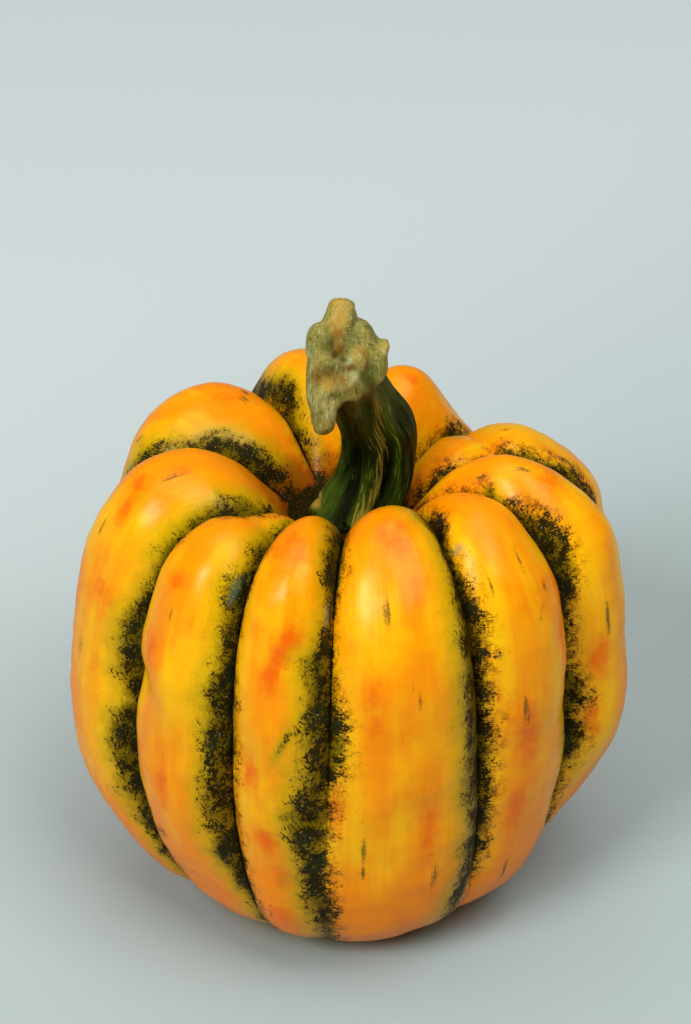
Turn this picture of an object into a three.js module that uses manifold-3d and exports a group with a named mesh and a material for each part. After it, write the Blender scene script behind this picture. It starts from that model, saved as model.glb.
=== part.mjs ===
// A ribbed ornamental pumpkin standing on its blossom end, with its curved stalk.
// Millimetres and degrees, +Z up. The origin is the middle of the flat spot that it stands on.
// An azimuth of 0 is the front (-Y) and grows towards +X.
import * as THREE from "three";
import { mergeVertices } from "three/addons/utils/BufferGeometryUtils.js";
import Module from "manifold-3d";

// The flat spot under the fruit, and the level scar in the crown that the stalk grew from.
const SPOT_RADIUS = 18;
const SCAR_RADIUS = 16;
const SCAR_HEIGHT = 114.5;

// Outline of the lobes' crests from the flat spot to the scar, as [radius, height].
const CREST_OUTLINE = [
  [SPOT_RADIUS, 0], [40, 3.2], [61, 19], [71.5, 48], [73.5, 78], [70.5, 104],
  [64, 121.5], [53, 133.5], [41, 137.5], [29.5, 132.5], [20, 120.5], [SCAR_RADIUS, SCAR_HEIGHT],
];
const SPANS = CREST_OUTLINE.length - 1;

// How deep the grooves lie under the crests, at the same places along the outline.
const GROOVE_DEPTH = [0, 0.7, 2.2, 6, 9, 10, 10.5, 12, 13, 9.5, 3.5, 0];

// The curve of a lobe across: a squareness of 2 and a steepness of 0.5 make a half ellipse.
const LOBE_SQUARENESS = 2.2;
const LOBE_STEEPNESS = 0.6;

// The ten lobes. Each has the azimuth of the groove before it, how deeply that groove is cut in its
// upper and in its lower part, how far it turns towards the scar and towards the flat spot, and the
// lobe's swell at its five levels.
const LOBES = [
  { groove: -4, cut: 0.8, lowCut: 0.35, turnTop: 2, turnBase: -5, swell: [1, -1, 0, 0, 2] },
  { groove: 31, cut: 0.95, lowCut: 0.95, turnTop: 8, turnBase: 2, swell: [0.6, -3, 0, -0.5, -2.5] },
  { groove: 63, cut: 1, lowCut: 1, turnTop: 7, turnBase: -3, swell: [-4, 6, 4.5, 1.5, -1] },
  { groove: 91, cut: 1, lowCut: 1, turnTop: 2, turnBase: 0, swell: [0, 0, 5, -2.7, -10] },
  { groove: 132, cut: 1.8, lowCut: 1.8, turnTop: 4, turnBase: 0, swell: [0, 0, -1.5, -4, 3] },
  { groove: 178, cut: 1, lowCut: 1, turnTop: 0, turnBase: 0, swell: [0, 0, 0, 3, 3.5] },
  { groove: 212, cut: 1, lowCut: 1, turnTop: -2, turnBase: 0, swell: [0, 1.5, 0.5, 3.5, -3] },
  { groove: 266, cut: 1.1, lowCut: 1.1, turnTop: -12, turnBase: 4, swell: [2.5, 6.5, 1.5, 3.5, -0.5] },
  { groove: 302, cut: 1, lowCut: 1, turnTop: 10, turnBase: 13, swell: [0.2, 1, 0, 1, -5.5] },
  { groove: 332, cut: 0.9, lowCut: 0.9, turnTop: 0, turnBase: 11, swell: [0.2, -0.5, 0, 2, -1] },
];

// The levels that a swell names, and where the grooves turn and change depth, in spans of the
// outline.
const SWELL_LEVELS = [1.8, 3.3, 5.1, 6.7, 8.3];
const SWELL_REACH = 1;
const TURN_TOP_LEVEL = 8;
const TURN_BASE_LEVEL = 2;
const TURN_SOFTNESS = 0.7;
const LOW_CUT_LEVEL = 4.2;
const LOW_CUT_SOFTNESS = 0.35;

// Low knobs and pinches of the skin: azimuth, level in spans, half width, half height, rise.
const KNOBS = [
  { azimuth: 350, level: 1.8, wide: 34, tall: 1, rise: 3 },
  { azimuth: 320, level: 4.8, wide: 7, tall: 0.45, rise: 1.4 },
  { azimuth: 309, level: 4.45, wide: 6, tall: 0.25, rise: -3 },
  { azimuth: 345, level: 4.5, wide: 9, tall: 0.5, rise: 1.2 },
  { azimuth: 337, level: 4.15, wide: 4, tall: 0.3, rise: -1.3 },
  { azimuth: 16, level: 5.2, wide: 10, tall: 0.6, rise: 1 },
  { azimuth: 60, level: 4.2, wide: 5, tall: 0.4, rise: -2 },
  { azimuth: 281, level: 5.3, wide: 9, tall: 0.8, rise: 2.4 },
  { azimuth: 108, level: 3.2, wide: 9, tall: 0.6, rise: 1.6 },
  { azimuth: 156, level: 4.4, wide: 10, tall: 0.7, rise: 1.4 },
  { azimuth: 196, level: 5.0, wide: 8, tall: 0.6, rise: 1.2 },
  { azimuth: 238, level: 4.2, wide: 12, tall: 0.8, rise: 1.6 },
  { azimuth: 142, level: 7.4, wide: 8, tall: 1.4, rise: -3 },
  { azimuth: 144, level: 5.9, wide: 8, tall: 0.9, rise: -3.6 },
  { azimuth: 121, level: 7.5, wide: 10, tall: 0.8, rise: -2 },
  { azimuth: 80, level: 5.9, wide: 9, tall: 0.7, rise: 2.4 },
  { azimuth: 67, level: 2.8, wide: 8, tall: 0.5, rise: -1.5 },
  { azimuth: 324, level: 2.2, wide: 12, tall: 0.6, rise: -1.2 },
];

// The stalk stands this far off the scar.
const GAP = 0.3;

// The stalk's ribbed neck, which arches over.
const NECK = {
  path: [
    [3, 0, SCAR_HEIGHT + GAP], [4.2, 0.3, 117.5], [6.6, 1, 122.5], [8.9, 1.8, 131],
    [8.6, 1.3, 141], [4.8, -1.8, 150], [2, -6, 158.5], [-1, -10, 166],
  ],
  radii: [11.2, 10.6, 10, 9.8, 9.7, 8.6, 7.6, 7],
  roundStart: 0,
  roundEnd: 5,
  ribs: 5,
  ribDepth: 0.08,
  ribPhase: 20,
};

// The neck's feet, which run down and out over the scar.
const FEET = [
  { azimuth: 272, reach: 13.2 },
  { azimuth: 304, reach: 13 },
  { azimuth: 335, reach: 13.2 },
  { azimuth: 35, reach: 14 },
  { azimuth: 105, reach: 14.6 },
  { azimuth: 190, reach: 13.2 },
];
const FOOT_TOP = new THREE.Vector3(4, 0.5, 119.2);
const FOOT_RADII = [5.5, 3.6, 2];

// The gnarled piece of vine across the neck's end: its broken tip, its left side, its body, its
// right knob and the ridge under that.
const VINE = [
  {
    path: [[-1.6, -5, 184], [-2.1, -8, 179.6], [-2.7, -11, 175], [-3, -13, 169]],
    radii: [3.2, 4.4, 5.2, 6.4],
    roundStart: 1.4,
    roundEnd: 3,
  },
  {
    path: [[-6.6, -8, 178.2], [-7, -11, 174.2], [-6.9, -15, 168], [-6.7, -17.5, 161], [-6.6, -19.2, 151]],
    radii: [3.1, 4.2, 4.4, 4.2, 2.6],
    roundStart: 2,
    roundEnd: 2.5,
  },
  {
    path: [[-1.6, -8, 174.5], [-1.5, -12, 169], [-3.6, -15, 165.5], [-4, -18, 158]],
    radii: [6, 8, 6.4, 3.3],
    roundStart: 3,
    roundEnd: 3,
  },
  {
    path: [[-1, -10, 171], [2.2, -9, 173.4], [6.6, -10, 171.9], [10.8, -10, 171.4]],
    radii: [7, 5.9, 3.2, 2.5],
    roundStart: 2,
    roundEnd: 0.8,
  },
  {
    path: [[5.6, -10.5, 171.5], [5.6, -12.5, 167.3], [2, -15.5, 165], [-1.6, -17.5, 160]],
    radii: [4.8, 4.5, 3.8, 2.8],
    roundStart: 2,
    roundEnd: 2.5,
  },
];

// Fineness of the faceted surfaces.
const FACETS_PER_LOBE = 8;
const FRUIT_ROWS = 38;
const LIMB_SIDES = 20;
const LIMB_STEP = 2.2;

const radians = THREE.MathUtils.degToRad;

// Outline through a list of numbers, read at 0 to 1 along it.
function gradually(values) {
  const curve = new THREE.SplineCurve(values.map((value) => new THREE.Vector2(value, 0)));
  return (along) => curve.getPoint(along).x;
}

// A closed skin over a stack of rings, with a fan over each end ring.
function skinOver(rings) {
  const sides = rings[0].length;
  const points = rings.flat();
  const middle = (ring) => ring.reduce((sum, point) => sum.add(point), new THREE.Vector3())
    .divideScalar(sides);
  const first = points.push(middle(rings[0])) - 1;
  const last = points.push(middle(rings.at(-1))) - 1;
  const index = [];
  for (let side = 0; side < sides; side += 1) {
    const next = (side + 1) % sides;
    const end = (rings.length - 1) * sides;
    index.push(first, next, side);
    index.push(last, end + side, end + next);
    for (let row = 0; row < rings.length - 1; row += 1) {
      const low = row * sides;
      const high = low + sides;
      index.push(low + side, low + next, high + next);
      index.push(low + side, high + next, high + side);
    }
  }
  const geometry = new THREE.BufferGeometry().setFromPoints(points);
  geometry.setIndex(index);
  geometry.computeVertexNormals();
  return geometry;
}

// Azimuth of a lobe's first groove at a level of the outline.
function grooveAzimuth(lobe, level) {
  const top = 1 / (1 + Math.exp((TURN_TOP_LEVEL - level) / TURN_SOFTNESS));
  const base = 1 / (1 + Math.exp((level - TURN_BASE_LEVEL) / TURN_SOFTNESS));
  return lobe.groove + lobe.turnTop * top + lobe.turnBase * base;
}

// How deeply a lobe's first groove is cut at a level of the outline.
function grooveCut(lobe, level) {
  const low = 1 / (1 + Math.exp((level - LOW_CUT_LEVEL) / LOW_CUT_SOFTNESS));
  return lobe.cut + (lobe.lowCut - lobe.cut) * low;
}

// How far a lobe's crest stands off the common outline; none at the flat spot and the scar.
function swellAt(lobe, level) {
  const fade = Math.min(1, level, SPANS - level);
  let swell = 0;
  SWELL_LEVELS.forEach((at, i) => {
    swell += lobe.swell[i] * Math.exp(-(((level - at) / SWELL_REACH) ** 2));
  });
  return fade * swell;
}

// Rise of the knobs at a place on the skin; none at the flat spot and the scar.
function knobRise(azimuth, level) {
  const fade = Math.min(1, level, SPANS - level);
  let rise = 0;
  for (const knob of KNOBS) {
    const turn = THREE.MathUtils.euclideanModulo(azimuth - knob.azimuth + 180, 360) - 180;
    const off = (turn / knob.wide) ** 2 + ((level - knob.level) / knob.tall) ** 2;
    rise += knob.rise * Math.exp(-off);
  }
  return fade * rise;
}

// One level ring of the fruit, groove to groove around all ten lobes.
function fruitRing(crest, depth, along) {
  const level = along * SPANS;
  const onCrest = crest.getPoint(along);
  const tangent = crest.getTangent(along);
  const outward = new THREE.Vector2(tangent.y, -tangent.x);
  const ring = [];
  LOBES.forEach((lobe, i) => {
    const nextLobe = LOBES[(i + 1) % LOBES.length];
    const turn = i === LOBES.length - 1 ? 360 : 0;
    const start = grooveAzimuth(lobe, level);
    const end = grooveAzimuth(nextLobe, level) + turn;
    const cutStart = grooveCut(lobe, level);
    const cutEnd = grooveCut(nextLobe, level);
    for (let facet = 0; facet < FACETS_PER_LOBE; facet += 1) {
      const across = Math.sin(radians(180 * facet / FACETS_PER_LOBE - 90));
      const fullness = (1 - Math.abs(across) ** LOBE_SQUARENESS) ** LOBE_STEEPNESS;
      const cut = cutStart + (cutEnd - cutStart) * (across + 1) / 2;
      const azimuth = (start + end) / 2 + across * (end - start) / 2;
      const sunk = depth(along) * cut * (1 - fullness);
      const proud = swellAt(lobe, level) * fullness - sunk + knobRise(azimuth, level);
      const place = onCrest.clone().addScaledVector(outward, proud);
      const angle = radians(azimuth);
      ring.push(new THREE.Vector3(place.x * Math.sin(angle), -place.x * Math.cos(angle), place.y));
    }
  });
  return ring;
}

function fruitGeometry() {
  const stations = CREST_OUTLINE.map(([radius, height]) => new THREE.Vector2(radius, height));
  const crest = new THREE.SplineCurve(stations);
  const depth = gradually(GROOVE_DEPTH);
  const rings = [];
  for (let row = 0; row <= FRUIT_ROWS; row += 1) {
    rings.push(fruitRing(crest, depth, row / FRUIT_ROWS));
  }
  return skinOver(rings);
}

// One foot of the neck, from inside the neck down to the edge of the scar.
function footLimb({ azimuth, reach }) {
  const outward = new THREE.Vector3(Math.sin(radians(azimuth)), -Math.cos(radians(azimuth)), 0);
  const start = FOOT_TOP.clone().addScaledVector(outward, 2.5);
  const end = outward.clone().multiplyScalar(reach - FOOT_RADII.at(-1));
  end.z = SCAR_HEIGHT + 0.8;
  const middle = start.clone().lerp(end, 0.6);
  middle.z -= 1;
  const path = [start, middle, end].map((point) => point.toArray());
  return { path, radii: FOOT_RADII, roundStart: 2, roundEnd: 3 };
}

// A limb of growing and shrinking girth along a curved path, rounded off at its ends and cut off
// level just over the scar.
function limbGeometry(limb) {
  const stations = limb.path.map((point) => new THREE.Vector3(...point));
  const path = new THREE.CatmullRomCurve3(stations, false, "catmullrom", 0.5);
  const girth = gradually(limb.radii);
  const length = path.getLength();
  const rows = Math.max(6, Math.round(length / LIMB_STEP));
  const sideways = new THREE.Vector3(0.85, -0.5, 0).normalize();
  const rings = [];
  for (let row = 0; row <= rows; row += 1) {
    const along = (1 - Math.cos(Math.PI * row / rows)) / 2;
    const centre = path.getPoint(along);
    const tangent = path.getTangent(along);
    const right = sideways.clone().addScaledVector(tangent, -sideways.dot(tangent)).normalize();
    const up = new THREE.Vector3().crossVectors(tangent, right);
    const fromStart = limb.roundStart ? Math.min(1, along * length / limb.roundStart) : 1;
    const fromEnd = limb.roundEnd ? Math.min(1, (1 - along) * length / limb.roundEnd) : 1;
    const rounding = Math.sqrt(Math.max(0.05, 1 - (1 - Math.min(fromStart, fromEnd)) ** 2));
    const ring = [];
    for (let side = 0; side < LIMB_SIDES; side += 1) {
      const angle = 2 * Math.PI * side / LIMB_SIDES;
      const rib = limb.ribs ? limb.ribDepth * Math.cos(limb.ribs * angle + radians(limb.ribPhase)) : 0;
      const radius = girth(along) * rounding * (1 + rib);
      const point = centre.clone().addScaledVector(right, radius * Math.cos(angle));
      point.addScaledVector(up, radius * Math.sin(angle));
      point.z = Math.max(point.z, SCAR_HEIGHT + GAP);
      ring.push(point);
    }
    rings.push(ring);
  }
  return skinOver(rings);
}

// Several closed skins grown together into one.
async function grownTogether(geometries) {
  const wasm = await Module();
  wasm.setup();
  const solids = geometries.map((geometry) => {
    const bare = geometry.clone();
    bare.deleteAttribute("normal");
    const merged = mergeVertices(bare);
    return new wasm.Manifold(new wasm.Mesh({
      numProp: 3,
      vertProperties: new Float32Array(merged.attributes.position.array),
      triVerts: new Uint32Array(merged.index.array),
    }));
  });
  const whole = solids.reduce((sum, solid) => sum.add(solid)).getMesh();
  const geometry = new THREE.BufferGeometry();
  geometry.setAttribute("position", new THREE.BufferAttribute(whole.vertProperties, 3));
  geometry.setIndex(new THREE.BufferAttribute(whole.triVerts, 1));
  geometry.computeVertexNormals();
  return geometry;
}

function namedMesh(name, geometry, finish) {
  const mesh = new THREE.Mesh(geometry, new THREE.MeshStandardMaterial(finish));
  mesh.name = name;
  return mesh;
}

const pumpkin = new THREE.Group();
pumpkin.add(namedMesh("fruit", fruitGeometry(), { color: 0xf0a020, roughness: 0.4, metalness: 0 }));

const limbs = [NECK, ...FEET.map(footLimb), ...VINE];
const stalk = await grownTogether(limbs.map(limbGeometry));
pumpkin.add(namedMesh("stem", stalk, { color: 0x5c6a30, roughness: 0.6, metalness: 0 }));

export default pumpkin;
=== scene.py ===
"""The looks of a ribbed ornamental pumpkin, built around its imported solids. Metres, +Z up."""

import math

import bpy
import numpy as np
from mathutils import Matrix, Vector, noise


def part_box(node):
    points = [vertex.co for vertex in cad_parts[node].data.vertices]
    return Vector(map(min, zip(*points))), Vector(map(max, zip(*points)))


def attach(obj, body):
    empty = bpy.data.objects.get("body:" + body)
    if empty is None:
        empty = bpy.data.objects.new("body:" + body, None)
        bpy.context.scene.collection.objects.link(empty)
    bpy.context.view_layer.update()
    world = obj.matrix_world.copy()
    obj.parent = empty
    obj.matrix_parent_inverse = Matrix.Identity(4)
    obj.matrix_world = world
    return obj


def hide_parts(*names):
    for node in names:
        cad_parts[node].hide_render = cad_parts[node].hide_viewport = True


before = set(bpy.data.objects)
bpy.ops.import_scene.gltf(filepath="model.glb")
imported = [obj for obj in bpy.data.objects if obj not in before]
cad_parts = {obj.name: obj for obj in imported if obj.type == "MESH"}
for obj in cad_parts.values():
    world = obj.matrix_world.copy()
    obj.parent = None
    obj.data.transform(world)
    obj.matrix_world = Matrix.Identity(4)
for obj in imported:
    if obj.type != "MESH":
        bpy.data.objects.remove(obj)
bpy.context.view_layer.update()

MM = 0.001

# The fruit's shape, in millimetres and degrees, as the solid has it.
SPOT_RADIUS = 18
SCAR_RADIUS = 16
SCAR_HEIGHT = 114.5
SPOT_DIMPLE = 1.4
CREST_OUTLINE = [
    (SPOT_RADIUS, 0), (40, 3.2), (61, 19), (71.5, 48), (73.5, 78), (70.5, 104),
    (64, 121.5), (53, 133.5), (41, 137.5), (29.5, 132.5), (20, 120.5), (SCAR_RADIUS, SCAR_HEIGHT),
]
SPANS = len(CREST_OUTLINE) - 1
GROOVE_DEPTH = [0, 0.7, 2.2, 6, 9, 10, 10.5, 12, 13, 9.5, 3.5, 0]
LOBE_SQUARENESS = 2.2
LOBE_STEEPNESS = 0.6

# Each lobe: the azimuth of the groove before it, how deeply that groove is cut above and below,
# its turns towards the scar and towards the flat spot, and the lobe's swell at the five levels.
LOBES = [
    (-4, 0.8, 0.35, 2, -5, (1, -1, 0, 0, 2)),
    (31, 0.95, 0.95, 8, 2, (0.6, -3, 0, -0.5, -2.5)),
    (63, 1, 1, 7, -3, (-4, 6, 4.5, 1.5, -1)),
    (91, 1, 1, 2, 0, (0, 0, 5, -2.7, -10)),
    (132, 1.8, 1.8, 4, 0, (0, 0, -1.5, -4, 3)),
    (178, 1, 1, 0, 0, (0, 0, 0, 3, 3.5)),
    (212, 1, 1, -2, 0, (0, 1.5, 0.5, 3.5, -3)),
    (266, 1.1, 1.1, -12, 4, (2.5, 6.5, 1.5, 3.5, -0.5)),
    (302, 1, 1, 10, 13, (0.2, 1, 0, 1, -5.5)),
    (332, 0.9, 0.9, 0, 11, (0.2, -0.5, 0, 2, -1)),
]
SWELL_LEVELS = (1.8, 3.3, 5.1, 6.7, 8.3)
SWELL_REACH = 1
TURN_TOP_LEVEL = 8
TURN_BASE_LEVEL = 2
TURN_SOFTNESS = 0.7
LOW_CUT_LEVEL = 4.2
LOW_CUT_SOFTNESS = 0.35

# Low knobs and pinches: azimuth, level, half width in degrees, half height in spans, rise.
KNOBS = [
    (350, 1.8, 34, 1, 3), (320, 4.8, 7, 0.45, 1.4), (309, 4.45, 6, 0.25, -3), (345, 4.5, 9, 0.5, 1.2),
    (337, 4.15, 4, 0.3, -1.3), (16, 5.2, 10, 0.6, 1), (60, 4.2, 5, 0.4, -2), (281, 5.3, 9, 0.8, 2.4),
    (108, 3.2, 9, 0.6, 1.6), (156, 4.4, 10, 0.7, 1.4), (196, 5.0, 8, 0.6, 1.2),
    (238, 4.2, 12, 0.8, 1.6), (142, 7.4, 8, 1.4, -3), (144, 5.9, 8, 0.9, -3.6),
    (121, 7.5, 10, 0.8, -2), (80, 5.9, 9, 0.7, 2.4), (67, 2.8, 8, 0.5, -1.5),
    (324, 2.2, 12, 0.6, -1.2),
]

# The dark stripes, one to each groove in the lobes' order. Stations run from the flat spot to the
# scar: the level, and the millimetres from the groove between which the skin is dark. Less than 0
# is on the lobe before the groove.
STRIPES = [
    [(0, -1, 1), (1, -1, 1), (1.6, -1, 3), (2.1, -1.5, 5), (2.5, -5, 4.5), (2.9, -6.5, 1),
     (3.3, -9.5, 1.5), (3.6, -11, 1.5), (4, -8, 3.5), (4.3, -8, 6), (4.7, -9.5, 6), (5, -9.5, 2),
     (5.5, -9.5, 2), (5.8, -6.5, 1.5), (6.3, -7, 3), (6.8, -8.5, 5), (7.5, -8, 5.5), (8.4, -7, 5),
     (9.2, -6, 4), (11, -3, 3)],
    [(0, -1, 1), (1.2, -5, -1), (1.8, -8, -2), (2.2, -9, -2.5), (2.5, -8, 1), (2.9, -6.5, 3.5),
     (3.2, -6.5, 5), (3.7, -8.5, 6), (4.4, -10, 5.5), (5, -10.5, 5.5), (5.5, -9.5, 6.5), (6, -8, 6.5),
     (6.6, -8, 5), (7, -9, 4), (7.4, -10, 4), (7.9, -14, 6), (8.6, -15, 8), (9.2, -11, 6),
     (11, -3, 3)],
    [(0, -1, 1), (1, -1, 1), (1.8, -2, 2), (2.5, -2, 3), (3, -4, 3), (3.2, -4, 5), (3.45, -6, 8),
     (3.65, -6, 4.5), (3.85, -7, 9.5), (4.1, -7, 9), (4.3, -6, 5.5), (4.6, -4, 6), (5, -6, 6.5),
     (5.3, -5, 9), (5.6, -3, 11), (5.9, 0, 12.5), (6.4, 0, 12), (6.9, -3, 10), (7.5, -4, 9),
     (8.6, -3, 8), (9.4, -5, 5), (11, -3, 3)],
    [(0, -1, 1), (1.6, -2, 2), (2.4, -3, 3), (3, -5, 4), (3.6, -4, 6), (4.2, -3, 7), (4.8, 0, 9),
     (5.3, 2, 14), (5.6, 4, 17), (5.9, 0, 17), (6.2, -2, 15), (6.8, -3, 12.5), (7.4, -3, 11),
     (8, -3, 10), (8.7, -4, 9), (9.4, -6, 7), (10.2, -4, 5), (11, -3, 3)],
    [(0, -1, 1), (1.7, -3, 2), (2.5, -4, 4), (3.2, -7, 4), (4, -6, 6), (4.8, -8, 5), (5.6, -6, 7),
     (6.4, -7, 9), (7.2, -6, 13), (8, -7, 12), (8.6, -9, 8), (9.2, -8, 4), (10, -6, 2), (11, -4, 1)],
    [(0, -1, 1), (1.5, -2, 2), (2.2, -4, 4), (2.8, -7, 3), (3.4, -6, 8), (4.2, -8, 6), (5, -6, 7),
     (5.8, -9, 5), (6.6, -7, 8), (7.4, -8, 6), (8.2, -6, 6), (9, -4, 4), (9.6, -2, 4), (10.2, -1, 7),
     (11, 0, 8)],
    [(0, -1, 1), (1.3, -2, 1), (2, -4, 3), (2.7, -6, 4), (3.3, -9, 4), (4, -7, 6), (4.7, -9, 4),
     (5.5, -8, 5), (6.2, -11, 4), (6.8, -14, 3), (7.5, -15, 2), (8.1, -14, 1), (8.6, -12, 1),
     (9.1, -7, 2), (9.6, -4, 2), (11, -4, 2)],
    [(0, -1, 1), (1.2, -1, 1), (1.8, -3, 3), (2.5, -6, 3), (3.1, -7, 4), (3.8, -10, 3), (4.5, -8, 5),
     (5.2, -9, 4), (5.8, -13, 3), (6.3, -13, 3), (6.8, -11.5, 3), (7.2, -10, 4), (7.8, -10.5, 5),
     (8.5, -11, 6), (9.1, -10, 8), (9.6, -9, 6), (11, -5, 3)],
    [(0, -1, 1), (1.5, -1, 2), (2, -1, 6), (2.4, -3, 9), (2.6, -5, 9), (2.8, -6, 7), (3, -8.5, 4),
     (3.2, -8, 4), (3.55, -10.5, 4), (3.85, -9, 4), (4, -6, 3), (4.3, -10, 3), (4.7, -9.5, 2),
     (5.3, -8, 3), (5.8, -6, 5), (6.2, -6, 7), (6.6, -5.5, 9.5), (7.1, -6, 12.5), (7.6, -7.5, 12.5),
     (8.3, -9, 10), (9.2, -7, 9), (11, -4, 3)],
    [(0, -1, 1), (1, -1, 1), (1.5, 0, 2), (2, -1, 5), (2.3, -1.5, 4.5), (2.6, -5, 2.5),
     (2.95, -8, 3.5), (3.3, -9, 4), (3.75, -9.5, 4.5), (4.2, -9, 6), (4.7, -9, 7), (5, -6.5, 5.5),
     (5.4, -7, 4), (5.8, -7, 4.5), (6.3, -8.5, 6), (6.7, -5.5, 7), (7.2, -6.5, 8), (7.8, -5, 8.5),
     (8.3, -5, 7), (9.4, -4, 5), (11, -3, 3)],
]

# Dabs beside the stripes: azimuth, level, half width and half height in mm, how dark, and how far
# they lean over as they rise.
DABS = [
    (346.8, 4.45, 3.2, 9, 0.95, 0.5), (349.5, 4.3, 3, 6, 0.9), (347.5, 3.58, 6, 4, 0.95),
    (314, 2.85, 6, 5, 0.9), (-1.5, 4.3, 3, 12, 0.9), (48, 6.6, 3, 5, 0.75),
]

# Where a stripe thins out to speckles: azimuth, level, half width and half height in mm, how much.
THINS = [
    (205, 7.3, 9, 14, 1.6), (321, 4.1, 6, 9, 0.8), (324, 5.6, 5, 8, 0.6), (298, 5.4, 6, 12, 0.6),
    (290, 7.6, 8, 6, 0.7), (262, 8.2, 8, 6, 0.7), (4, 6.2, 6, 12, 0.9), (351, 6.4, 5, 9, 0.6),
    (72, 7.6, 6, 9, 1), (77, 8.7, 7, 9, 1.3), (62, 7.2, 4, 8, 1.2), (100, 6.6, 8, 8, 0.6),
    (136, 6.2, 6, 6, 0.7), (180, 4.6, 6, 10, 0.7), (215, 5, 6, 10, 0.6), (97, 3.8, 6, 7, 0.6),
]

# Thin dark flecks that run with the lobes: azimuth, level, half width and half height in mm.
FLECKS = [
    (9, 6.2, 1.1, 6), (15, 4.9, 0.8, 3), (14, 5.1, 0.7, 2), (3, 3.2, 0.9, 4.5), (3, 2.95, 1.2, 2),
    (19, 2.8, 1, 5), (51.4, 5.79, 1.2, 2.4), (48.2, 5.55, 0.8, 1.6), (47, 5.4, 0.5, 2),
    (37.8, 6.2, 0.4, 5), (47.5, 6.4, 0.5, 6), (40.9, 4.41, 1.1, 4), (41.5, 4.25, 0.9, 3),
    (70, 4.7, 1, 6), (288, 4.3, 0.9, 5), (226, 8.1, 1.4, 5), (222, 7.8, 1, 4), (290, 7.3, 1, 7),
    (112, 7.3, 0.8, 5), (41, 2.4, 1, 4), (75, 7.4, 1, 5), (72, 8.4, 0.8, 4), (107, 4, 1, 5),
    (118, 5.2, 1, 4), (150, 5, 1.1, 6), (161, 3.6, 1, 4), (190, 6.2, 1, 5), (200, 4.1, 1.2, 4),
    (230, 5.4, 1, 6), (246, 3.4, 1.1, 5), (144, 6.9, 1, 4), (253, 6.4, 1, 4), (104, 6.1, 1, 4),
    (285, 5.9, 0.8, 4), (317, 5.6, 0.6, 3),
]

# Pale grey-green patches of painted sheen, a reflection on the glossy skin: azimuth, level, half width and
# half height in mm.
SHEEN_PATCHES = [
    (35.6, 7.1, 2, 4), (329.5, 6.3, 1.2, 8), (354.5, 6.2, 0.8, 6), (338, 5.36, 0.7, 0.5),
    (65, 7.9, 1.6, 6), (215, 6.9, 2, 6), (130, 5.5, 1.6, 6), (181, 7.2, 1.6, 7),
]

# Red blotches: azimuth, level, half width and half height in mm, and how strong if not 1.
BLOTCHES = [
    (347, 5.79, 3.5, 4, 1.5), (345, 5.5, 3.2, 5, 1.5), (343.5, 5.2, 2.8, 5, 1.4),
    (344, 7.2, 8, 12, 1), (343, 3.26, 4, 3, 1.4), (346.6, 2.84, 4, 3, 1.6), (345.7, 2.3, 6, 5, 1.2),
    (58.4, 5.4, 4, 9, 1.3), (54.5, 5, 3, 9, 0.9), (51.4, 5.79, 3, 5, 0.8), (14, 7.6, 7, 10, 0.8),
    (231, 7.9, 6, 5, 0.8), (5, 5, 2.5, 4), (6, 4.6, 2, 5), (15, 7.3, 4, 7), (17, 6.5, 3, 6),
    (236, 7.7, 2.5, 1.5), (234, 8, 2.5, 1.5), (292, 5.1, 4, 7), (281, 4.7, 2, 3), (289, 6.4, 3, 8),
    (286, 6.8, 4, 4), (288, 7.5, 2, 5), (17, 3.4, 3, 8), (352, 7.3, 3, 9), (313, 5, 3, 6),
    (318, 3.6, 2, 7), (339, 4, 3, 5), (330, 2.3, 6, 3), (316, 6.1, 4, 3), (152, 8.3, 4, 4),
    (42, 4.1, 5, 10), (41, 3.2, 4, 9), (26, 2.7, 4, 5), (66, 3.6, 3, 5), (76, 6.9, 4, 6),
    (357, 3.7, 2.5, 7), (68, 4.3, 3, 6), (111, 5.2, 5, 8), (107, 3.3, 4, 6), (150, 6, 5, 9),
    (158, 3.8, 4, 7), (192, 5.2, 4, 8), (203, 3.1, 5, 6), (235, 5.9, 5, 9), (240, 3.9, 5, 8),
    (252, 5, 3, 7), (226, 4.6, 3, 6), (140, 4.6, 3, 7), (187, 7.2, 4, 5),
]

# Yellower places with less red: azimuth, level, half width and half height in mm, and how much.
YELLOWS = [
    (116, 7.3, 12, 24, 1), (104, 8.6, 7, 16, 0.9), (82, 5.2, 7, 20, 0.8), (200, 8.8, 9, 18, 0.9),
    (162, 7.8, 6, 10, 0.5), (222, 4.6, 8, 16, 0.6), (274, 6, 7, 18, 0.5), (129, 4.2, 8, 14, 0.6),
]

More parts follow.
